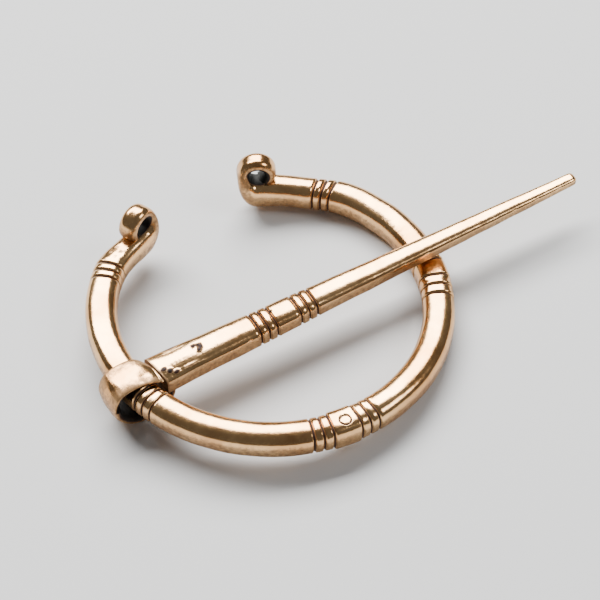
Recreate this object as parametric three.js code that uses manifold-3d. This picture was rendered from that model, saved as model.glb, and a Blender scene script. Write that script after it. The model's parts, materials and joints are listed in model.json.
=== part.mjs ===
// A penannular ring brooch of cast bronze, the open-ringed fibula of the Roman frontier.
// Two pieces: a hoop whose two ends curl over into small eyes, and a pin whose head is
// wrapped round the hoop. Millimetres, +Z up, lying face up. The pin lies along +X.

import * as THREE from "three";
import { mergeVertices } from "three/addons/utils/BufferGeometryUtils.js";
import Module from "manifold-3d";

const wasm = await Module();
wasm.setup();

const { cos, sin, hypot, atan2, abs, sign, sqrt, max, min, round, PI } = Math;
const DEG = PI / 180;

// ---- Driving dimensions -------------------------------------------------------------

// Hoop. Angles run anticlockwise from +X, about the hoop's centre.
const HOOP_RADIUS = 18.3; // to the middle of the bar
const BAR_WIDTH = 3.5;
const BAR_HEIGHT = 3.3;
// A section is a superellipse: an exponent of 2 is an ellipse, and more is squarer. It is
// filed flat below at a share of its half height, and `faceUp` puts a face along its top
// where there would be an edge.
const BAR_SECTION = { sides: 20, squareness: 2.6, flatBelow: 0.96, faceUp: false };
const BAR_STEP = 4.6; // degrees of hoop between plain rows

// The two ends, either side of the gap. Each has the angle of its eye and of its band of
// grooves, and the angle before the eye at which the bar starts to draw in towards the
// hoop's centre, by how much, and to what width. The hole of an eye has its middle at
// holeHeight above the middle of the bar, and a wall of eyeWall over it.
const RIGHT_END = {
  side: 1, eye: 65.8, band: 41.1, bend: 34, drawIn: 0.68, stemWidth: 3.2, holeHeight: 2.5, eyeWall: 1.4,
};
const LEFT_END = {
  side: -1, eye: 116, band: 137.7, bend: 20, drawIn: 0.85, stemWidth: 2.9, holeHeight: 2.3, eyeWall: 1.37,
};
const DRAW_IN_SPAN = 18; // degrees

const BACK_PANEL = -94.7; // opposite the gap
const RIGHT_PANEL = -14.5; // under the pin
const PANEL_BAND = 7.8; // degrees from a panel's middle to its bands of grooves
const HEAD_BAND = -162.1; // the single band beside the pin's head

const GROOVE_PITCH = 1;
const WIDE_PITCH = 1.33; // in the band on the right
const GROOVE_WIDTH = 0.34;
const GROOVE_DEPTH = 0.2;

// Eyes, each the bar's end curled up and back over a round hole.
const EYE_HOLE_RADIUS = 0.85;
const EYE_CAP_WIDTH = 2.3;
const EYE_CAP_OUTWARD = 0.5; // the cap sits this much towards the outside of the hoop
const EYE_TIP_THINNING = 0.3;
const EYE_CROWN = 100; // degrees round the hole, from the side next the gap
const EYE_END = 258; // where the curl sinks into the bar
const EYE_ROWS = 24;

// Pin. Its own frame has the hinge axis on Y and the shaft along X.
const HEAD_ANGLE = 189.15; // where the pin's head sits on the hoop
const HINGE_DROP = 0.3; // the head hangs this much below the middle of the bar
const PIN_RISE = 4.32; // degrees that the shaft climbs, to lie on the far side of the hoop
const SHAFT_HEIGHT = 0.5; // the shaft's middle above the hinge axis
const PIN_TIP = 55.3; // from the hinge axis
const SHAFT_ROOT = 2.65;
const FLARE_END = 10;
const ROOT_WIDTH = 4.1;
const SHAFT_WIDTH = 3.65; // where the flare ends
const TIP_WIDTH = 1.45;
const SHAFT_THINNESS = 0.8; // height as a share of width
const SHAFT_SECTION = { sides: 20, squareness: 3.4, flatBelow: 1, faceUp: true };

const BARREL_MIDDLE = 18.15; // from the hinge axis
const BARREL_BAND = 2.5; // from the barrel's middle to each band of grooves

// Head: a strap from the shaft's root down under the bar and up the other side, then over it
// as a flatter dome that comes down to a tongue on the shaft.
const LOOP_HOLE_RADIUS = 2.3;
const STRAP_THICKNESS = 1.3;
const STRAP_WIDTH = 3.9;
const DOME_CENTRE = new THREE.Vector3(-0.4, 0, -2.08); // from the hinge axis
const DOME_RADIUS = 5;
const TONGUE_WIDTH = 0.6;
const TONGUE_THICKNESS = 0.62;
const STRAP_SECTION = { sides: 20, squareness: 3, flatBelow: 0.95, faceUp: false };
const LOOP_START = -3; // degrees round the hole, from the shaft
const LOOP_END = -326;
const TONGUE_START = -285; // where the strap starts to narrow
const LOOP_SLACK = 0.75; // the hole is this much wider next the shaft
const LOOP_ROWS = 36;

const LEAN = 3.55; // degrees that the hoop leans when it lies on a surface

// ---- Building blocks ----------------------------------------------------------------

const clampUnit = (value) => min(max(value, 0), 1);
const ease = (value) => clampUnit(value) ** 2 * (3 - 2 * clampUnit(value));
const mix = (from, to, share) => from + (to - from) * share;
const rootOf = (value, exponent) => sign(value) * abs(value) ** (2 / exponent);

// A closed bar through a row of stations. A station has its middle, its half width along
// the direction `across`, and its half height along the direction `up`.
function sweptBar(stations, { sides, squareness, flatBelow, faceUp }) {
  const start = faceUp ? PI / sides : 0;
  const geometry = new THREE.CylinderGeometry(1, 1, 1, sides, stations.length - 1, false, start);
  geometry.deleteAttribute("normal");
  geometry.deleteAttribute("uv");
  const corners = geometry.attributes.position;
  const corner = new THREE.Vector3();
  for (let i = 0; i < corners.count; i += 1) {
    corner.fromBufferAttribute(corners, i);
    const station = stations[round((0.5 - corner.y) * (stations.length - 1))];
    const fromAxis = hypot(corner.x, corner.z);
    const turn = atan2(corner.z, corner.x);
    const across = fromAxis * rootOf(cos(turn), squareness);
    const up = max(fromAxis * rootOf(sin(turn), squareness), -flatBelow);
    corner.copy(station.middle);
    corner.addScaledVector(station.across, across * station.halfWidth);
    corner.addScaledVector(station.up, up * station.halfHeight);
    corners.setXYZ(i, corner.x, corner.y, corner.z);
  }
  return mergeVertices(geometry, 1e-4);
}

function solidOf(geometry) {
  return new wasm.Manifold(new wasm.Mesh({
    numProp: 3,
    vertProperties: new Float32Array(geometry.attributes.position.array),
    triVerts: new Uint32Array(geometry.index.array),
  }));
}

function geometryOf(solid) {
  const mesh = solid.getMesh();
  const geometry = new THREE.BufferGeometry();
  geometry.setAttribute("position", new THREE.BufferAttribute(mesh.vertProperties, 3));
  geometry.setIndex(new THREE.BufferAttribute(mesh.triVerts, 1));
  geometry.computeVertexNormals();
  return geometry;
}

// Three grooves side by side, `pitch` apart, about each middle.
function bandsOfThree(middles, pitch) {
  return middles.flatMap((middle) => [middle - pitch, middle, middle + pitch]);
}

// Row places from `from` to `to`: plain ones a step apart, and three for each groove.
function rowPlaces(from, to, step, grooves, grooveWidth) {
  const places = [{ at: from, depth: 0 }];
  const count = round((to - from) / step);
  for (let i = 1; i < count; i += 1) {
    const at = mix(from, to, i / count);
    if (grooves.every((groove) => abs(groove - at) > 1.5 * grooveWidth)) {
      places.push({ at, depth: 0 });
    }
  }
  for (const groove of grooves) {
    places.push({ at: groove - grooveWidth / 2, depth: 0 });
    places.push({ at: groove, depth: GROOVE_DEPTH });
    places.push({ at: groove + grooveWidth / 2, depth: 0 });
  }
  places.push({ at: to, depth: 0 });
  return places.sort((one, other) => one.at - other.at);
}

// ---- Hoop ---------------------------------------------------------------------------

const UP = new THREE.Vector3(0, 0, 1);
const outwardAt = (angle) => new THREE.Vector3(cos(angle * DEG), sin(angle * DEG), 0);

// Every angle of the hoop is written between its two ends, going round by the back.
const FIRST_EYE = LEFT_END.eye - 360;
const LAST_EYE = RIGHT_END.eye;

function barStation({ at, depth }) {
  const fromRight = LAST_EYE - at;
  const fromLeft = at - FIRST_EYE;
  const [end, before] = fromRight < fromLeft ? [RIGHT_END, fromRight] : [LEFT_END, fromLeft];
  const share = ease((end.bend - before) / DRAW_IN_SPAN);
  return {
    middle: outwardAt(at).multiplyScalar(HOOP_RADIUS - end.drawIn * share),
    across: outwardAt(at),
    up: UP,
    halfWidth: mix(BAR_WIDTH, end.stemWidth, share) / 2 - depth,
    halfHeight: BAR_HEIGHT / 2 - depth,
  };
}

// One station of a curl, on a ray from the middle of its hole. The ray turns from
// straight down, where the curl is still the whole bar, up past the gap and back over.
function eyeStation(end, turn) {
  const outward = outwardAt(end.eye);
  const towardsGap = outwardAt(end.eye + 90 * end.side);
  const ray = towardsGap.multiplyScalar(cos(turn * DEG)).addScaledVector(UP, sin(turn * DEG));

  // Outside, the bar's underside runs round a quarter ellipse into the eye's circle.
  const reach = EYE_HOLE_RADIUS + end.eyeWall;
  const depth = turn < 0 ? end.holeHeight + BAR_HEIGHT / 2 : reach;
  const ellipse = 1 / hypot(cos(turn * DEG) / reach, sin(turn * DEG) / depth);
  const outer = ellipse - EYE_TIP_THINNING * ease((turn - 170) / (EYE_END - 170));

  // Inside, the bar's top runs into the hole.
  const inner = mix(end.holeHeight - BAR_HEIGHT / 2, EYE_HOLE_RADIUS, ease((turn + 90) / 80));

  const over = ease((turn + 60) / 120);
  const middle = outwardAt(end.eye).multiplyScalar(HOOP_RADIUS - end.drawIn);
  middle.addScaledVector(outward, EYE_CAP_OUTWARD * over);
  middle.addScaledVector(UP, end.holeHeight);
  middle.addScaledVector(ray, (outer + inner) / 2);
  return {
    middle,
    across: outward,
    up: ray.negate(),
    halfWidth: mix(end.stemWidth, EYE_CAP_WIDTH, over) / 2,
    halfHeight: (outer - inner) / 2,
  };
}

function eyeStations(end, from, to) {
  const count = round((EYE_ROWS * (to - from)) / (EYE_END + 90));
  return Array.from({ length: count + 1 }, (_, i) => eyeStation(end, mix(from, to, i / count)));
}

const barThrough = (stations) => sweptBar(stations, BAR_SECTION);

function makeHoop() {
  const backBands = [BACK_PANEL - PANEL_BAND, BACK_PANEL + PANEL_BAND];
  const rightBands = [RIGHT_PANEL - PANEL_BAND, RIGHT_PANEL + PANEL_BAND];
  const bands = [...backBands, HEAD_BAND, RIGHT_END.band, LEFT_END.band - 360];
  const grooves = [
    ...bandsOfThree(bands, GROOVE_PITCH / HOOP_RADIUS / DEG),
    ...bandsOfThree(rightBands, WIDE_PITCH / HOOP_RADIUS / DEG),
  ];
  const rows = rowPlaces(FIRST_EYE, LAST_EYE, BAR_STEP, grooves, GROOVE_WIDTH / HOOP_RADIUS / DEG);

  // The bar carries each curl as far as its crown, and the caps that come down again to
  // the bar are joined on there.
  const rightCurl = eyeStations(RIGHT_END, -90, EYE_CROWN).slice(1).reverse();
  const leftCurl = eyeStations(LEFT_END, -90, EYE_CROWN).slice(1);
  const bar = barThrough([...rightCurl, ...rows.reverse().map(barStation), ...leftCurl]);
  const rightCap = barThrough(eyeStations(RIGHT_END, EYE_CROWN, EYE_END).reverse());
  const leftCap = barThrough(eyeStations(LEFT_END, EYE_CROWN, EYE_END));
  return geometryOf(solidOf(bar).add(solidOf(rightCap)).add(solidOf(leftCap)));
}

// ---- Pin ----------------------------------------------------------------------------

const ACROSS_PIN = new THREE.Vector3(0, -1, 0);

function shaftStation({ at, depth }) {
  const taper = mix(SHAFT_WIDTH, TIP_WIDTH, (at - FLARE_END) / (PIN_TIP - FLARE_END));
  const flare = (ROOT_WIDTH - SHAFT_WIDTH) * ease((FLARE_END - at) / (FLARE_END - SHAFT_ROOT));
  const width = min(taper, SHAFT_WIDTH) + flare;
  return {
    middle: new THREE.Vector3(at, 0, SHAFT_HEIGHT),
    across: ACROSS_PIN,
    up: UP,
    halfWidth: width / 2 - depth,
    halfHeight: (min(taper, SHAFT_WIDTH) * SHAFT_THINNESS) / 2 - depth,
  };
}

function strapStation(turn) {
  const ray = new THREE.Vector3(cos(turn * DEG), 0, sin(turn * DEG));
  let inner = LOOP_HOLE_RADIUS + LOOP_SLACK * ease((turn + 90) / 80);
  let outer = inner + STRAP_THICKNESS;
  if (turn < -180) {
    const towardsCentre = ray.dot(DOME_CENTRE);
    const dome = towardsCentre + sqrt(DOME_RADIUS ** 2 - DOME_CENTRE.lengthSq() + towardsCentre ** 2);
    outer = min(outer, dome);
    inner = max(inner, outer - TONGUE_THICKNESS);
  }

  const tongue = clampUnit((TONGUE_START - turn) / (TONGUE_START - LOOP_END));
  const width = mix(STRAP_WIDTH, TONGUE_WIDTH, 1 - sqrt(1 - tongue ** 2));
  const aside = (STRAP_WIDTH - width) / 2; // the tongue is cut away on its far side only
  return {
    middle: ray.clone().multiplyScalar((outer + inner) / 2).addScaledVector(ACROSS_PIN, aside),
    across: ACROSS_PIN,
    up: ray.negate(),
    halfWidth: width / 2,
    halfHeight: (outer - inner) / 2,
  };
}

function makePin() {
  const bands = [BARREL_MIDDLE - BARREL_BAND, BARREL_MIDDLE + BARREL_BAND];
  const grooves = bandsOfThree(bands, GROOVE_PITCH);
  const rows = rowPlaces(SHAFT_ROOT, PIN_TIP, 4, grooves, GROOVE_WIDTH);
  const shaft = sweptBar(rows.reverse().map(shaftStation), SHAFT_SECTION);
  const turns = Array.from({ length: LOOP_ROWS + 1 }, (_, i) => mix(LOOP_START, LOOP_END, i / LOOP_ROWS));
  const strap = sweptBar(turns.map(strapStation), STRAP_SECTION);
  return geometryOf(solidOf(shaft).add(solidOf(strap)));
}

// ---- Assembly -----------------------------------------------------------------------

const bronze = { color: 0xc8966a, roughness: 0.28, metalness: 1 };

const hoop = new THREE.Mesh(makeHoop(), new THREE.MeshStandardMaterial(bronze));
hoop.name = "hoop";

const pin = new THREE.Mesh(makePin(), new THREE.MeshStandardMaterial(bronze));
pin.name = "pin";

const hinge = new THREE.Group();
hinge.position.copy(outwardAt(HEAD_ANGLE)).multiplyScalar(HOOP_RADIUS);
hinge.position.z = -HINGE_DROP;
hinge.rotation.y = -PIN_RISE * DEG;
hinge.add(pin);

// Lying on a flat surface, the brooch rests on the bottom of the head and on the far side
// of the hoop, so the hoop leans down from the head.
const leaning = new THREE.Group();
leaning.add(hoop, hinge);
leaning.rotation.y = LEAN * DEG;

// The origin is on that surface, under the middle of the brooch's box.
const brooch = new THREE.Group();
brooch.add(leaning);
const box = new THREE.Box3().setFromObject(brooch, true);
const middle = box.getCenter(new THREE.Vector3());
leaning.position.set(-middle.x, -middle.y, -box.min.z);

export default brooch;
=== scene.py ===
"""Looks of a roman fibula brooch: a cast bronze ring with curled ends, and its swinging pin."""

import json
from dataclasses import dataclass
from math import ceil, cos, degrees, hypot, pi, radians, sin, sqrt, tan

import bmesh
import bpy
from bpy.props import FloatProperty, FloatVectorProperty, PointerProperty
from mathutils import Matrix, Vector, noise


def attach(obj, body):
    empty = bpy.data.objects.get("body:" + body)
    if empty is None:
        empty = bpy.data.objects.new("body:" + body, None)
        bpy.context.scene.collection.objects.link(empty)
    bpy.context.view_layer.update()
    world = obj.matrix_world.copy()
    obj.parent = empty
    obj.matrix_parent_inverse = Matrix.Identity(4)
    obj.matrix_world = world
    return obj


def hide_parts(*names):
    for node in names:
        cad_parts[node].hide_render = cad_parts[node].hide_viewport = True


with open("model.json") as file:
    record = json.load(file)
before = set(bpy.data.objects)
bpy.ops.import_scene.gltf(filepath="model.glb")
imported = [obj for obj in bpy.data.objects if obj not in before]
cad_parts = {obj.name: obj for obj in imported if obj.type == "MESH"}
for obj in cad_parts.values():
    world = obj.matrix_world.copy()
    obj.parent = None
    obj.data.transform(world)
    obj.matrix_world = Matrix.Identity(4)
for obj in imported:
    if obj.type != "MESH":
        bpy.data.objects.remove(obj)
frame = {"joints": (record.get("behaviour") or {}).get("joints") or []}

bl_info = {
    "name": "Roman Fibula Brooch",
    "version": (1, 0, 0),
    "blender": (4, 5, 0),
    "location": "3D View > Sidebar > Brooch",
    "description": "Builds a ring brooch of cast bronze with a swinging pin",
    "category": "Add Mesh",
}

MM = 0.001  # every size below is in millimetres unless it says otherwise
UP = Vector((0, 0, 1))

# ---- Places that the solids give ------------------------------------------------------

HOOP_RADIUS = 18.3  # to the middle of the bar
LEAN = 3.55  # degrees that the hoop leans as it lies
HEAD_ANGLE = 189.15  # degrees round the hoop to the pin's head
HINGE_DROP = 0.3
PIN_RISE = 4.32  # degrees that the pin climbs above the hoop's plane


def outward_at(angle):
    """The way out from the hoop's middle at an angle in degrees, anticlockwise from +X."""
    return Vector((cos(radians(angle)), sin(radians(angle)), 0))


HINGE = outward_at(HEAD_ANGLE) * HOOP_RADIUS - UP * HINGE_DROP
LEANING = Matrix.Rotation(radians(LEAN), 4, "Y")
HINGE_PLACE = Vector(frame["joints"][0]["pos_m"])
HOOP_PLACE = Matrix.Translation(HINGE_PLACE - LEANING @ HINGE * MM) @ LEANING
PIN_PLACE = Matrix.Translation(HINGE_PLACE) @ LEANING @ Matrix.Rotation(radians(-PIN_RISE), 4, "Y")


def hex_colour(code):
    """An sRGB hex value as a linear colour."""
    parts = [int(code[i:i + 2], 16) / 255 for i in (1, 3, 5)]
    linear = [p / 12.92 if p <= 0.04045 else ((p + 0.055) / 1.055) ** 2.4 for p in parts]
    return (*linear, 1.0)


# ---- Sizes and colours that a user would change ----------------------------------------


def length(name, description, millimetres):
    """A length shown with its unit."""
    return FloatProperty(
        name=name, description=description, default=millimetres * MM, min=0.0,
        precision=5, unit="LENGTH",
    )


def colour(name, description, code):
    """A colour given by its sRGB hex value."""
    return FloatVectorProperty(
        name=name, description=description, default=hex_colour(code), size=4,
        subtype="COLOR", min=0.0, max=1.0,
    )


class BroochHoopSizes(bpy.types.PropertyGroup):
    bar_width: length("Bar width", "Width of the hoop's bar", 3.5)
    bar_height: length("Bar height", "Height of the hoop's bar", 3.3)
    groove_width: length("Groove width", "Width of each cross groove at its lips", 0.46)
    groove_depth: length("Groove depth", "Depth of each cross groove", 0.22)
    groove_pitch: length("Groove pitch", "Distance between neighbouring grooves", 1.0)
    wide_pitch: length("Wide pitch", "The same in the band on the right", 1.33)


class BroochPinSizes(bpy.types.PropertyGroup):
    shaft_width: length("Shaft width", "Width of the pin where its taper starts", 3.65)
    tip_width: length("Tip width", "Width of the pin at its tip", 1.3)
    strap_width: length("Strap width", "Width of the strap round the hoop", 3.9)
    strap_thickness: length("Strap thickness", "Thickness of the strap below the bar", 1.15)


class BroochColours(bpy.types.PropertyGroup):
    bronze: colour("Bronze", "Polished bronze", "#F5C48A")
    bronze_deep: colour("Deep bronze", "Bronze where the polish is older", "#D39A62")
    # Brown, for patina in the grooves and marks, and for painted shade low on the sides and in the
    # seams.
    patina_and_shade: colour("Patina", "Brown patina in the grooves and low on the sides", "#3E2418")
    # Black, for painted shade in the eyes and under the strap, and for black patina in the deepest
    # marks.
    shade_and_black_patina: colour("Hollow", "Black patina in the eyes and the deepest marks", "#14110B")
    floor: colour("Floor", "Pale surface that the brooch lies on", "#DEDEDD")


# ---- Shaping helpers ------------------------------------------------------------------


def clamp_unit(value):
    return min(max(value, 0.0), 1.0)


def ease(value):
    """Smooths a share, and keeps it between 0 and 1."""
    value = clamp_unit(value)
    return value * value * (3 - 2 * value)


def ramp(value, start, end):
    """0 as far as start and 1 from end on, with a smooth change between them."""
    return ease((value - start) / (end - start))


def mix(start, end, share):
    return start + (end - start) * share


@dataclass
class Station:
    """One cross-section of a bar: its middle, its two directions and its outline.

    Patina and painted shade are 0 on polished metal, 1 where they are brown, and black by 1.7.
    """
    middle: Vector
    across: Vector
    up: Vector
    half_width: float
    half_height: float
    squareness: float = 2.6  # 2 is an ellipse, and more is squarer
    flat_below: float = 1.0  # the share of its half height at which the section is filed flat
    flat_side: float = 1.0  # the same for its half width
    cut: float = 0.0  # depth of a groove here
    patina_and_shade: float = 0.0
    painted_shade_above: float = 0.0  # painted shade, on the upper side of the section alone
    ledge: float = 0.0  # how much of that side's width, from its -across edge, stays bright
    skew: float = 0.0  # how far along the bar the section shifts for each unit across


SECTION_SIDES = 48
PAINTED_UNDERSIDE_SHADE = 0.5  # painted shade where a bar turns down
UNDERSIDE_SHADE_END = 0.8  # how far up a side has to face to be free of it
LEDGE_FADE = 0.3


def root_of(value, exponent):
    """A sine or cosine drawn out to the corners of a squarer section."""
    return abs(value) ** (2 / exponent) * (1 if value > 0 else -1)


def patina_and_shade_on(station, x, share, rise):
    """Patina and painted shade at a distance across a section, a share of its height, and facing up by
    rise.
    """
    bare = ramp(x + station.half_width, station.ledge - LEDGE_FADE, station.ledge)
    # Painted shade on the upper side, which is the inside of an eye or of the strap.
    above = station.painted_shade_above * ramp(share, -0.1, 0.5) * bare
    # Painted shade, darker the more a side faces down.
    below = PAINTED_UNDERSIDE_SHADE * ramp(rise, UNDERSIDE_SHADE_END, 0)
    return max(station.patina_and_shade, above, below)


def place_ring(ring, station, place_layer, patina_and_shade_layer):
    """Puts a ring of vertices on a station's outline."""
    along = station.across.cross(station.up)
    for vertex in ring:
        turn = 2 * pi * (vertex[place_layer] + 0.5) / SECTION_SIDES
        aside = root_of(cos(turn), station.squareness) / station.flat_side
        x = max(min(aside, 1), -1) * (station.half_width - station.cut)
        share = max(root_of(sin(turn), station.squareness), -station.flat_below)
        y = share * (station.half_height - station.cut)
        vertex.co = station.middle + station.across * x + station.up * y + along * x * station.skew
        rise = (vertex.co - station.middle).normalized().dot(UP)
        vertex[patina_and_shade_layer] = patina_and_shade_on(station, x, share, rise)


def sweep(bm, stations):
    """Extrudes a closed bar through a row of stations."""
    place_layer = bm.verts.layers.int.get("place") or bm.verts.layers.int.new("place")
    patina_and_shade_layer = bm.verts.layers.float.get("patina_and_shade") or bm.verts.layers.float.new("patina_and_shade")
    ring = bmesh.ops.create_circle(bm, cap_ends=True, segments=SECTION_SIDES, radius=1)["verts"]
    for i, vertex in enumerate(ring):
        vertex[place_layer] = i
    place_ring(ring, stations[0], place_layer, patina_and_shade_layer)
    face = ring[0].link_faces[0]
    for station in stations[1:]:
        # The face that each step starts from stays behind, as an inner wall across the bar.
        extruded = bmesh.ops.extrude_face_region(bm, geom=[face])["geom"]
        ring = [g for g in extruded if isinstance(g, bmesh.types.BMVert)]
        face = next(g for g in extruded if isinstance(g, bmesh.types.BMFace))
        place_ring(ring, station, place_layer, patina_and_shade_layer)


UNEVENNESS = 0.05
UNEVEN_PATTERN = 2.6  # size of its swells


def roughen(bm):
    """Moves the surface in and out a little, as a cast and hand-filed surface is uneven."""
    bm.normal_update()
    for vertex in bm.verts:
        vertex.co += vertex.normal * noise.noise(vertex.co / UNEVEN_PATTERN) * UNEVENNESS


def edges_near(bm, spot, reach):
    """The edges that lie wholly within reach of a spot."""
    return [e for e in bm.edges if all((v.co - spot).length < reach for v in e.verts)]


def press_in(bm, depth_at, patina_and_shade):
    """Presses a surface in by the depth that a function gives, with patina where it is deepest."""
    bm.normal_update()
    patina_and_shade_layer = bm.verts.layers.float["patina_and_shade"]
    depths = [(vertex, depth_at(vertex.co)) for vertex in bm.verts]
    deepest = max(depth for _, depth in depths)
    for vertex, depth in depths:
        vertex.co -= vertex.normal * depth
        vertex[patina_and_shade_layer] = max(vertex[patina_and_shade_layer], patina_and_shade * depth / deepest)


def cut_finer(bm, edges, cuts):
    """Divides a stretch of the surface, so that small marks can be pressed into it."""
    bmesh.ops.subdivide_edges(bm, edges=edges, cuts=cuts, use_grid_fill=True)


def engrave_circle(bm, spot, radius, half_width, depth):
    """Cuts a circular line into a surface, round a spot."""
    cut_finer(bm, edges_near(bm, spot, radius + 3.5 * half_width), 6)
    press_in(bm, lambda at: depth * ease(1 - abs((at - spot).length - radius) / half_width), 1.0)


def dent(bm, spot, size, depth, patina_and_shade):
    """Presses a round-bottomed dent with its three half sizes into a surface."""
    shape = Vector(1 / length for length in size)
    press_in(bm, lambda at: depth * ease(1 - ((at - spot) * shape).length), patina_and_shade)


MERGE_DISTANCE = 1e-4


def finish_piece(bm, name, place, sharp_angle):
    """Makes a mesh object from a shape in millimetres, put in its place."""
    bmesh.ops.remove_doubles(bm, verts=bm.verts, dist=MERGE_DISTANCE)
    bmesh.ops.recalc_face_normals(bm, faces=bm.faces)
    bmesh.ops.scale(bm, vec=(MM, MM, MM), verts=bm.verts)
    bmesh.ops.transform(bm, matrix=place, verts=bm.verts)
    for face in bm.faces:
        face.smooth = True
    for edge in bm.edges:
        edge.smooth = edge.calc_face_angle(0.0) < radians(sharp_angle)
    mesh = bpy.data.meshes.new(name)
    bm.to_mesh(mesh)
    bm.free()
    piece = bpy.data.objects.new(name, mesh)
    bpy.context.scene.collection.objects.link(piece)
    return piece


def bands_of_three(middles, pitch):
    """The places of the grooves in bands of three."""
    return [middle + offset for middle in middles for offset in (-pitch, 0, pitch)]


GROOVE_ROWS = [i / 4 for i in range(-4, 5)]  # shares of a groove's half width
GROOVE_MARGIN = 1.2  # half widths of a groove that are kept clear of plain rows


def row_places(start, end, step, grooves, half_groove):
    """Places along a bar: plain rows a step apart, and a fan of close ones at each groove."""
    count = ceil((end - start) / step)
    places = [mix(start, end, i / count) for i in range(count + 1)]
    places = [p for p in places if all(abs(p - g) > GROOVE_MARGIN * half_groove for g in grooves)]
    places += [g + share * half_groove for g in grooves for share in GROOVE_ROWS]
    return sorted(places)


def groove_share(at, grooves, half_groove):
    """How deep in a groove a place is, from 0 outside to 1 at its bottom."""
    return max(ease(1 - abs(at - groove) / half_groove) for groove in grooves)


# ---- Hoop -----------------------------------------------------------------------------


@dataclass
class CurledEnd:
    """One of the hoop's two ends, which curls up and back into an eye."""
    side: int  # 1 where the angle grows towards the eye, and -1 where it falls
    eye: float  # degrees round the hoop
    band: float  # the same, to its band of grooves
    bend: float  # degrees before the eye where the bar starts to draw in
    draw_in: float  # how far its middle then moves in
    stem_width: float
    hole_height: float  # above the middle of the bar
    eye_wall: float


RIGHT_END = CurledEnd(1, 65.8, 41.1, 34, 0.68, 3.2, 2.5, 1.4)
LEFT_END = CurledEnd(-1, 116, 137.7, 20, 0.85, 2.9, 2.3, 1.37)
DRAW_IN_SPAN = 18  # degrees

BACK_PANEL = -94.7  # degrees round the hoop
RIGHT_PANEL = -14.5
PANEL_BAND = 7.8  # degrees from a panel's middle to its bands
HEAD_BAND = -162.1
FIRST_EYE = LEFT_END.eye - 360
LAST_EYE = RIGHT_END.eye
HOOP_ROW_STEP = 1.0  # degrees

BAR_SQUARENESS = 2.6
PANEL_SQUARENESS = 3.6
UNDERSIDE_FLAT = 0.94
HOOP_SHARP_ANGLE = 38  # degrees between faces from which an edge stays sharp

# The circle engraved on the back panel.
CIRCLE_TURN = 0.4  # degrees from the panel's middle
CIRCLE_OUT = 0.35  # from the middle of the bar
CIRCLE_RADIUS = 0.62
CIRCLE_LINE = 0.13  # half width
CIRCLE_DEPTH = 0.1

# Rough spots left by the casting, each with its angle, its distance out from the middle of
# the bar, its height over it, its half size, its depth and its patina.
CASTING_PITS = (
    (127.0 - 360, 0.1, 1.6, 0.8, 0.12, 0.5),
    (128.6 - 360, -0.6, 1.5, 0.6, 0.1, 0.6),
    (129.8 - 360, 0.5, 1.6, 0.7, 0.1, 0.5),
    (131.4 - 360, -0.2, 1.6, 0.6, 0.08, 0.45),
)

EYE_HOLE = 0.85  # radius
EYE_CAP_WIDTH = 2.3
EYE_CAP_OUTWARD = 0.5
EYE_TIP_THINNING = 0.3
EYE_START = -90  # degrees round the hole, at the end of the straight bar
EYE_END = 258
EYE_ROWS = 72
EYE_LEDGE = 1.0  # how much of the stem's width stays bright in front of the hole
# Black painted shade inside the eyes.
EYE_PAINTED_SHADE = 2.0


def bar_station(at, sizes, grooves, half_groove):
    """The hoop's section at an angle in degrees."""
    from_right, from_left = LAST_EYE - at, at - FIRST_EYE
    end, before = (RIGHT_END, from_right) if from_right < from_left else (LEFT_END, from_left)
    share = ramp(before, end.bend, end.bend - DRAW_IN_SPAN)
    deep = groove_share(at, grooves, half_groove)
    panel_distance = min(abs(at - panel) for panel in (BACK_PANEL, RIGHT_PANEL))
    on_panel = ramp(panel_distance, PANEL_BAND - 2, PANEL_BAND - 4)
    near_eye = ramp(before, 9, 3)
    return Station(
        middle=outward_at(at) * (HOOP_RADIUS - end.draw_in * share),
        across=outward_at(at),
        up=UP,
        half_width=mix(sizes.bar_width / MM, end.stem_width, share) / 2,
        half_height=sizes.bar_height / MM / 2,
        squareness=mix(BAR_SQUARENESS, PANEL_SQUARENESS, max(on_panel, near_eye / 2)),
        flat_below=UNDERSIDE_FLAT,
        cut=sizes.groove_depth / MM * deep,
        patina_and_shade=deep,
        # Painted shade on the bar's top, where it runs into the eye's hole.
        painted_shade_above=EYE_PAINTED_SHADE * ramp(before, 3.5, 1.5),
        ledge=EYE_LEDGE,
    )


def eye_station(end, turn, sizes):
    """A curl's section on a ray from the middle of its hole, at an angle in degrees."""
    outward = outward_at(end.eye)
    ray = outward_at(end.eye + 90 * end.side) * cos(radians(turn)) + UP * sin(radians(turn))
    bar_height = sizes.bar_height / MM

    # Outside, the bar's underside runs round a quarter ellipse into the eye's circle.
    reach = EYE_HOLE + end.eye_wall
    depth = end.hole_height + bar_height / 2 if turn < 0 else reach
    ellipse = 1 / hypot(cos(radians(turn)) / reach, sin(radians(turn)) / depth)
    outer = ellipse - EYE_TIP_THINNING * ramp(turn, 170, EYE_END)

    # Inside, the bar's top runs into the hole.
    inner = mix(end.hole_height - bar_height / 2, EYE_HOLE, ramp(turn, EYE_START, -10))

    over = ramp(turn, -60, 60)
    middle = outward * (HOOP_RADIUS - end.draw_in + EYE_CAP_OUTWARD * over)
    middle += UP * end.hole_height + ray * (outer + inner) / 2
    return Station(
        middle=middle,
        across=outward,
        up=-ray,
        half_width=mix(end.stem_width, EYE_CAP_WIDTH, over) / 2,
        half_height=(outer - inner) / 2,
        squareness=mix(3.1, 2.3, over),
        flat_below=UNDERSIDE_FLAT,
        # Painted shade: brown in the seam where the curl's tip meets the stem, and black on the curl's
        # inner side, round the hole.
        patina_and_shade=0.6 * ramp(turn, 195, 210),
        painted_shade_above=EYE_PAINTED_SHADE,
        ledge=EYE_LEDGE * (1 - over),
    )


def eye_stations(end, sizes):
    """The curl's sections, from the bar to its tip."""
    turns = [mix(EYE_START, EYE_END, i / EYE_ROWS) for i in range(1, EYE_ROWS + 1)]
    return [eye_station(end, turn, sizes) for turn in turns]


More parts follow.
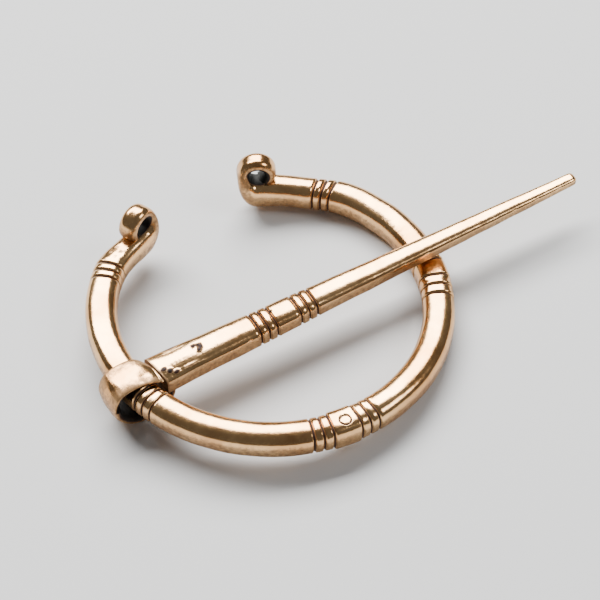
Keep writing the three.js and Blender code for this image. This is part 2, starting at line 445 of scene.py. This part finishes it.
class BROOCH_OT_hoop(bpy.types.Operator):
    """Makes the hoop: the open ring of bronze with its curled ends and cross grooves"""
    bl_idname = "brooch.hoop"
    bl_label = "Hoop"

    def execute(self, context):
        sizes = context.scene.brooch_hoop
        to_degrees = degrees(1 / HOOP_RADIUS)
        back_bands = [BACK_PANEL - PANEL_BAND, BACK_PANEL + PANEL_BAND]
        right_bands = [RIGHT_PANEL - PANEL_BAND, RIGHT_PANEL + PANEL_BAND]
        bands = [*back_bands, HEAD_BAND, RIGHT_END.band, LEFT_END.band - 360]
        grooves = bands_of_three(bands, sizes.groove_pitch / MM * to_degrees)
        grooves += bands_of_three(right_bands, sizes.wide_pitch / MM * to_degrees)
        half_groove = sizes.groove_width / MM / 2 * to_degrees
        rows = row_places(FIRST_EYE, LAST_EYE, HOOP_ROW_STEP, grooves, half_groove)

        bm = bmesh.new()
        bar = [bar_station(at, sizes, grooves, half_groove) for at in reversed(rows)]
        sweep(bm, [*reversed(eye_stations(RIGHT_END, sizes)), *bar, *eye_stations(LEFT_END, sizes)])
        circle_spot = outward_at(BACK_PANEL + CIRCLE_TURN) * (HOOP_RADIUS + CIRCLE_OUT)
        circle_spot += UP * sizes.bar_height / MM / 2
        engrave_circle(bm, circle_spot, CIRCLE_RADIUS, CIRCLE_LINE, CIRCLE_DEPTH)
        for angle, out, up, size, depth, patina_and_shade in CASTING_PITS:
            spot = outward_at(angle) * (HOOP_RADIUS + out) + UP * up
            dent(bm, spot, (size, size, size), depth, patina_and_shade)
        roughen(bm)
        hoop = finish_piece(bm, "bronze_hoop", HOOP_PLACE, HOOP_SHARP_ANGLE)
        hoop.data.materials.append(bronze_material(context.scene.brooch_colours, "hoop"))
        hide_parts("hoop")
        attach(hoop, "hoop")
        return {"FINISHED"}


# ---- Pin ------------------------------------------------------------------------------

ACROSS_PIN = Vector((0, -1, 0))
SHAFT_HEIGHT = 0.5  # the shaft's middle above the hinge axis
PIN_TIP = 55.3  # from the hinge axis
SHAFT_ROOT = 2.65
FLARE_END = 10
ROOT_WIDTH = 4.1
SHAFT_THINNESS = 0.8  # height as a share of width
SHAFT_GROOVE_DEPTH = 0.2
SHAFT_ROW_STEP = 0.5
BARREL_MIDDLE = 18.15
BARREL_BAND = 2.5  # from the barrel's middle to its bands of grooves
TIP_ROUNDING = 0.5
TIP_BLUNTING = 0.35
TIP_ROWS = (0.05, 0.15, 0.3, 0.5, 0.7)  # shares of the rounding, back from the tip
PIN_SHARP_ANGLE = 20  # degrees between faces from which an edge stays sharp

LOOP_HOLE = 2.35  # radius
DOME_CENTRE = Vector((-0.4, 0, -2.08))  # from the hinge axis
DOME_RADIUS = 5
TONGUE_WIDTH = 0.6
TONGUE_THICKNESS = 0.57
TONGUE_START = -285  # degrees round the hole, where the strap starts to narrow
LOOP_START = -3  # degrees round the hole, from the shaft
LOOP_END = -326
LOOP_SLACK = 0.75  # how much wider the loop's hole is at the shaft
LOOP_ROWS = 110

# Dents, each with its place in the pin's frame, its half sizes, its depth and its patina.
HAMMER_DENTS = (
    (Vector((0.9, -0.9, 2.8)), (1.6, 1.1, 1), 0.16, 0.0),
    (Vector((-0.9, 0.4, 2.9)), (1.3, 1.6, 1), 0.1, 0.0),
    (Vector((-2.4, -1.0, 2.4)), (0.7, 1.2, 1), 0.08, 0.0),
    (Vector((5.0, 0.1, 1.9)), (3.0, 1.5, 1), 0.1, 0.0),
    (Vector((5.2, 1.6, 1.6)), (2.6, 0.7, 1), 0.08, 0.7),
)
ROOT_MARKS = (
    (Vector((7.45, 0.42, 1.95)), (0.5, 0.3, 0.6), 0.14, 1.5),
    (Vector((8.0, 0.3, 1.95)), (0.5, 0.28, 0.6), 0.18, 1.8),
    (Vector((8.1, 0.0, 1.95)), (0.4, 0.4, 0.6), 0.16, 1.8),
    (Vector((7.75, -0.3, 1.95)), (0.4, 0.36, 0.6), 0.16, 1.6),
    (Vector((3.3, -0.7, 1.95)), (0.6, 0.4, 0.6), 0.14, 1.5),
    (Vector((3.8, -1.15, 1.9)), (0.5, 0.45, 0.6), 0.18, 1.8),
    (Vector((4.4, -1.5, 1.8)), (0.6, 0.35, 0.6), 0.14, 1.4),
    (Vector((6.2, -1.5, 1.7)), (2.2, 0.35, 0.6), 0.07, 0.6),
)
BARREL_MARKS = (
    (Vector((16.85, 0.35, 1.85)), (0.2, 0.16, 0.4), 0.1, 1.7),
    (Vector((18.4, 0.5, 1.85)), (0.7, 0.08, 0.4), 0.03, 0.8),
)

# The stretches with these marks, each with its middle and its reach.
MARKED_STRETCHES = (
    (Vector((5.7, -0.4, 2.4)), 3.3),
    (Vector((17.3, 0.3, 2)), 1.1),
)


def shaft_station(at, sizes, grooves, half_groove):
    """The shaft's section at a distance from the hinge axis."""
    full, tip = sizes.shaft_width / MM, sizes.tip_width / MM
    taper = min(mix(full, tip, (at - FLARE_END) / (PIN_TIP - FLARE_END)), full)
    flare = (ROOT_WIDTH - full) * ramp(at, FLARE_END, SHAFT_ROOT)
    deep = groove_share(at, grooves, half_groove)
    at_tip = clamp_unit((at - PIN_TIP + TIP_ROUNDING) / TIP_ROUNDING)
    blunt = TIP_BLUNTING * (1 - sqrt(1 - at_tip ** 2))
    return Station(
        middle=Vector((at, 0, SHAFT_HEIGHT)),
        across=ACROSS_PIN,
        up=UP,
        half_width=(taper + flare) / 2 - blunt,
        half_height=taper * SHAFT_THINNESS / 2 - blunt,
        squareness=3.0,
        flat_side=0.93,
        cut=SHAFT_GROOVE_DEPTH * deep,
        # Brown patina in the grooves, and brown painted shade at the root, where the shaft meets the
        # strap.
        patina_and_shade=max(deep, 0.6 * ramp(at, SHAFT_ROOT + 0.5, SHAFT_ROOT)),
        skew=-tan(radians(HEAD_ANGLE - 180)) * ramp(at, SHAFT_ROOT + 2, SHAFT_ROOT),
    )


def strap_station(turn, sizes):
    """The strap's section on a ray from the middle of its loop, at an angle in degrees."""
    width = sizes.strap_width / MM
    ray = Vector((cos(radians(turn)), 0, sin(radians(turn))))
    inner = LOOP_HOLE + LOOP_SLACK * ramp(turn, -90, -10)
    outer = inner + sizes.strap_thickness / MM

    # The cap's outside is a flatter dome.
    if turn < -180:
        towards_centre = ray.dot(DOME_CENTRE)
        within = DOME_RADIUS ** 2 - DOME_CENTRE.length_squared + towards_centre ** 2
        outer = min(outer, towards_centre + sqrt(within))
        inner = max(inner, outer - TONGUE_THICKNESS)

    tongue = clamp_unit((TONGUE_START - turn) / (TONGUE_START - LOOP_END))
    wide = mix(width, TONGUE_WIDTH, 1 - sqrt(1 - tongue ** 2))
    return Station(
        middle=ray * (outer + inner) / 2 + ACROSS_PIN * (width - wide) / 2,
        across=ACROSS_PIN,
        up=-ray,
        half_width=wide / 2,
        half_height=(outer - inner) / 2,
        squareness=2.8,
        # Black painted shade on the strap's inner side, where it wraps the bar.
        painted_shade_above=2.0,
    )


class BROOCH_OT_pin(bpy.types.Operator):
    """Makes the pin: a tapering shaft whose head is a strap wrapped round the hoop"""
    bl_idname = "brooch.pin"
    bl_label = "Pin"

    def execute(self, context):
        sizes = context.scene.brooch_pin
        hoop_sizes = context.scene.brooch_hoop
        bands = [BARREL_MIDDLE - BARREL_BAND, BARREL_MIDDLE + BARREL_BAND]
        grooves = bands_of_three(bands, hoop_sizes.groove_pitch / MM)
        half_groove = hoop_sizes.groove_width / MM / 2
        rows = row_places(SHAFT_ROOT, PIN_TIP, SHAFT_ROW_STEP, grooves, half_groove)
        rows += [PIN_TIP - TIP_ROUNDING * share for share in TIP_ROWS]

        bm = bmesh.new()
        sweep(bm, [shaft_station(at, sizes, grooves, half_groove) for at in sorted(rows)])
        turns = [mix(LOOP_START, LOOP_END, i / LOOP_ROWS) for i in range(LOOP_ROWS + 1)]
        sweep(bm, [strap_station(turn, sizes) for turn in turns])
        cut_finer(bm, [edge for stretch in MARKED_STRETCHES for edge in edges_near(bm, *stretch)], 3)
        for mark in HAMMER_DENTS + ROOT_MARKS + BARREL_MARKS:
            dent(bm, *mark)
        roughen(bm)
        pin = finish_piece(bm, "bronze_pin", PIN_PLACE, PIN_SHARP_ANGLE)
        pin.data.materials.append(bronze_material(context.scene.brooch_colours, "pin"))
        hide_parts("pin")
        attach(pin, "pin")
        return {"FINISHED"}


# ---- Materials ------------------------------------------------------------------------

# Sockets of the Mix node, whose names repeat for each kind of data.
FACTOR = 0
FLOAT_A, FLOAT_B, FLOAT_RESULT = 2, 3, 0
COLOUR_A, COLOUR_B, COLOUR_RESULT = 6, 7, 2


def add_node(tree, kind, settings=None, inputs=None):
    """Adds a node, sets its properties, and sets or links its inputs."""
    node = tree.nodes.new(kind)
    for name, value in (settings or {}).items():
        setattr(node, name, value)
    for name, value in (inputs or {}).items():
        if isinstance(value, bpy.types.NodeSocket):
            tree.links.new(value, node.inputs[name])
        else:
            node.inputs[name].default_value = value
    return node


def new_material(name):
    """An empty material and its node tree."""
    material = bpy.data.materials.new(name)
    material.use_nodes = True
    material.node_tree.nodes.clear()
    return material, material.node_tree


def bronze_material(colours, name):
    # Tin bronze, cast and polished by hand. A metal whose colour wanders a little where the
    # polish is older, with a surface that is never quite even. Dull brown patina is left in
    # the grooves and marks, where the wheel doesn't reach. Brown painted shade darkens the sides where
    # they turn down, the seam at each curl's tip and the shaft's root. Black painted shade fills the
    # eyes and the strap's inner side, and black patina the deepest marks.
    material, tree = new_material("polished_cast_bronze_" + name)
    place = add_node(tree, "ShaderNodeTexCoord").outputs["Object"]
    patina_and_shade = add_node(tree, "ShaderNodeAttribute", {"attribute_name": "patina_and_shade"}).outputs["Fac"]

    cloud = add_node(tree, "ShaderNodeTexNoise", None, {
        "Vector": place, "Scale": 1 / (5 * MM), "Detail": 4.0, "Roughness": 0.6})
    age = add_node(tree, "ShaderNodeMapRange", None, {
        "Value": cloud.outputs["Fac"], "From Min": 0.4, "From Max": 0.7})
    metal = add_node(tree, "ShaderNodeMix", {"data_type": "RGBA"}, {
        FACTOR: age.outputs["Result"], COLOUR_A: colours.bronze, COLOUR_B: colours.bronze_deep})

    crust = add_node(tree, "ShaderNodeTexNoise", None, {
        "Vector": place, "Scale": 1 / (0.5 * MM), "Detail": 5.0, "Roughness": 0.7})
    spread = add_node(tree, "ShaderNodeMath", {"operation": "MULTIPLY_ADD"}, {
        0: crust.outputs["Fac"], 1: 0.5, 2: patina_and_shade})
    dark = add_node(tree, "ShaderNodeMapRange", {"interpolation_type": "SMOOTHSTEP"}, {
        "Value": spread.outputs["Value"], "From Min": 0.5, "From Max": 1.0})
    brown = add_node(tree, "ShaderNodeMix", {"data_type": "RGBA"}, {
        FACTOR: dark.outputs["Result"], COLOUR_A: metal.outputs[COLOUR_RESULT],
        COLOUR_B: colours.patina_and_shade})
    black = add_node(tree, "ShaderNodeMapRange", {"interpolation_type": "SMOOTHSTEP"}, {
        "Value": patina_and_shade, "From Min": 1.0, "From Max": 1.7})
    skin = add_node(tree, "ShaderNodeMix", {"data_type": "RGBA"}, {
        FACTOR: black.outputs["Result"], COLOUR_A: brown.outputs[COLOUR_RESULT],
        COLOUR_B: colours.shade_and_black_patina})

    polish = add_node(tree, "ShaderNodeMapRange", None, {
        "Value": crust.outputs["Fac"], "From Min": 0.3, "From Max": 0.7,
        "To Min": 0.13, "To Max": 0.22})
    rough = add_node(tree, "ShaderNodeMix", {"data_type": "FLOAT"}, {
        FACTOR: dark.outputs["Result"], FLOAT_A: polish.outputs["Result"], FLOAT_B: 0.6})
    shine = add_node(tree, "ShaderNodeMapRange", None, {
        "Value": dark.outputs["Result"], "To Min": 1.0, "To Max": 0.35})

    wave = add_node(tree, "ShaderNodeTexNoise", None, {
        "Vector": place, "Scale": 1 / (1.3 * MM), "Detail": 3.0, "Roughness": 0.55})
    uneven = add_node(tree, "ShaderNodeBump", None, {
        "Height": wave.outputs["Fac"], "Strength": 0.5, "Distance": 0.06 * MM})
    grain = add_node(tree, "ShaderNodeBump", None, {
        "Height": crust.outputs["Fac"], "Strength": 0.25, "Distance": 0.02 * MM,
        "Normal": uneven.outputs["Normal"]})

    shader = add_node(tree, "ShaderNodeBsdfPrincipled", None, {
        "Base Color": skin.outputs[COLOUR_RESULT], "Metallic": shine.outputs["Result"],
        "Roughness": rough.outputs[FLOAT_RESULT], "Normal": grain.outputs["Normal"]})
    add_node(tree, "ShaderNodeOutputMaterial", None, {"Surface": shader.outputs["BSDF"]})
    return material


def floor_material(colours):
    # Matt white card. Even and pale, with only a trace of sheen.
    material, tree = new_material("matt_white_card")
    place = add_node(tree, "ShaderNodeTexCoord").outputs["Object"]
    fibre = add_node(tree, "ShaderNodeTexNoise", None, {
        "Vector": place, "Scale": 1 / (1.5 * MM), "Detail": 3.0})
    bump = add_node(tree, "ShaderNodeBump", None, {
        "Height": fibre.outputs["Fac"], "Strength": 0.05, "Distance": 0.02 * MM})
    shader = add_node(tree, "ShaderNodeBsdfPrincipled", None, {
        "Base Color": colours.floor, "Roughness": 0.85, "Normal": bump.outputs["Normal"]})
    add_node(tree, "ShaderNodeOutputMaterial", None, {"Surface": shader.outputs["BSDF"]})
    return material


# ---- Stage ----------------------------------------------------------------------------

CAMERA_ELEVATION = 48.76  # degrees
CAMERA_TURN = 29.5  # degrees that the hoop's frame is turned in the view
CAMERA_DISTANCE = 320
CAMERA_LENS = 176.9
CAMERA_AIM = (0.153, -0.576, 0.41)  # degrees of pitch, yaw and roll off the hoop's middle
FLOOR_REACH = 1.5  # metres from its middle to each edge
ROOM_STRENGTH = 0.16


def place_camera():
    """Puts the camera above the front of the hoop."""
    camera = bpy.data.objects.new("camera", bpy.data.cameras.new("camera"))
    camera.data.lens = CAMERA_LENS
    camera.data.sensor_width = 36
    camera.data.clip_start = 0.01
    camera.data.clip_end = 10
    elevation = radians(CAMERA_ELEVATION)
    pitch, yaw, roll = (radians(angle) for angle in CAMERA_AIM)
    back = Vector((0, -cos(elevation), sin(elevation))) * CAMERA_DISTANCE * MM
    look = Matrix.Rotation(pi / 2 - elevation + pitch, 4, "X")
    look = look @ Matrix.Rotation(yaw, 4, "Y") @ Matrix.Rotation(roll, 4, "Z")
    turn = Matrix.Rotation(radians(-CAMERA_TURN), 4, "Z")
    camera.matrix_world = HOOP_PLACE @ turn @ Matrix.Translation(back) @ look
    bpy.context.scene.collection.objects.link(camera)
    bpy.context.scene.camera = camera


def add_softbox(name, direction, distance, size, watts):
    """A rectangular light, in a direction given as right, away and up from the camera's side."""
    light = bpy.data.lights.new(name, "AREA")
    light.shape = "RECTANGLE"
    light.size, light.size_y = size
    light.energy = watts
    lamp = bpy.data.objects.new(name, light)
    turned = Matrix.Rotation(radians(-CAMERA_TURN), 3, "Z") @ Vector(direction).normalized()
    lamp.matrix_world = (
        Matrix.Translation(turned * distance) @ turned.to_track_quat("Z", "Y").to_matrix().to_4x4()
    )
    bpy.context.scene.collection.objects.link(lamp)


class BROOCH_OT_stage(bpy.types.Operator):
    """Makes the stage: a pale floor, soft studio light and the camera"""
    bl_idname = "brooch.stage"
    bl_label = "Stage"

    def execute(self, context):
        bm = bmesh.new()
        bmesh.ops.create_grid(bm, x_segments=8, y_segments=8, size=FLOOR_REACH)
        mesh = bpy.data.meshes.new("floor")
        bm.to_mesh(mesh)
        bm.free()
        floor = bpy.data.objects.new("floor", mesh)
        floor.data.materials.append(floor_material(context.scene.brooch_colours))
        context.scene.collection.objects.link(floor)

        world = bpy.data.worlds.new("studio")
        world.use_nodes = True
        background = world.node_tree.nodes["Background"]
        background.inputs["Color"].default_value = hex_colour("#E8ECF2")
        background.inputs["Strength"].default_value = ROOM_STRENGTH
        context.scene.world = world
        add_softbox("window_light", (-0.25, 0.75, 0.9), 0.9, (1.05, 0.45), 27.0)
        add_softbox("fill_light", (0.9, -0.1, 0.9), 1.0, (0.35, 0.35), 3.0)
        place_camera()
        return {"FINISHED"}


# ---- Panel and registration --------------------------------------------------------------


class BROOCH_PT_panel(bpy.types.Panel):
    """Lists the brooch's sizes and colours, and the steps that build it"""
    bl_idname = "BROOCH_PT_panel"
    bl_label = "Roman Fibula Brooch"
    bl_space_type = "VIEW_3D"
    bl_region_type = "UI"
    bl_category = "Brooch"

    def draw(self, context):
        for group in (context.scene.brooch_hoop, context.scene.brooch_pin, context.scene.brooch_colours):
            box = self.layout.box()
            for name in group.bl_rna.properties.keys():
                if name not in ("rna_type", "name"):
                    box.prop(group, name)
        for operator in OPERATORS:
            self.layout.operator(operator.bl_idname)


OPERATORS = (BROOCH_OT_hoop, BROOCH_OT_pin, BROOCH_OT_stage)
CLASSES = (BroochHoopSizes, BroochPinSizes, BroochColours, *OPERATORS, BROOCH_PT_panel)


def register():
    for cls in CLASSES:
        bpy.utils.register_class(cls)
    bpy.types.Scene.brooch_hoop = PointerProperty(type=BroochHoopSizes)
    bpy.types.Scene.brooch_pin = PointerProperty(type=BroochPinSizes)
    bpy.types.Scene.brooch_colours = PointerProperty(type=BroochColours)


def unregister():
    del bpy.types.Scene.brooch_colours
    del bpy.types.Scene.brooch_pin
    del bpy.types.Scene.brooch_hoop
    for cls in reversed(CLASSES):
        bpy.utils.unregister_class(cls)


def main():
    """Builds every piece and the stage."""
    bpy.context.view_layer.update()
    register()
    bpy.ops.brooch.hoop()
    bpy.ops.brooch.pin()
    bpy.ops.brooch.stage()
    bpy.context.view_layer.update()


if __name__ == "__main__":
    main()
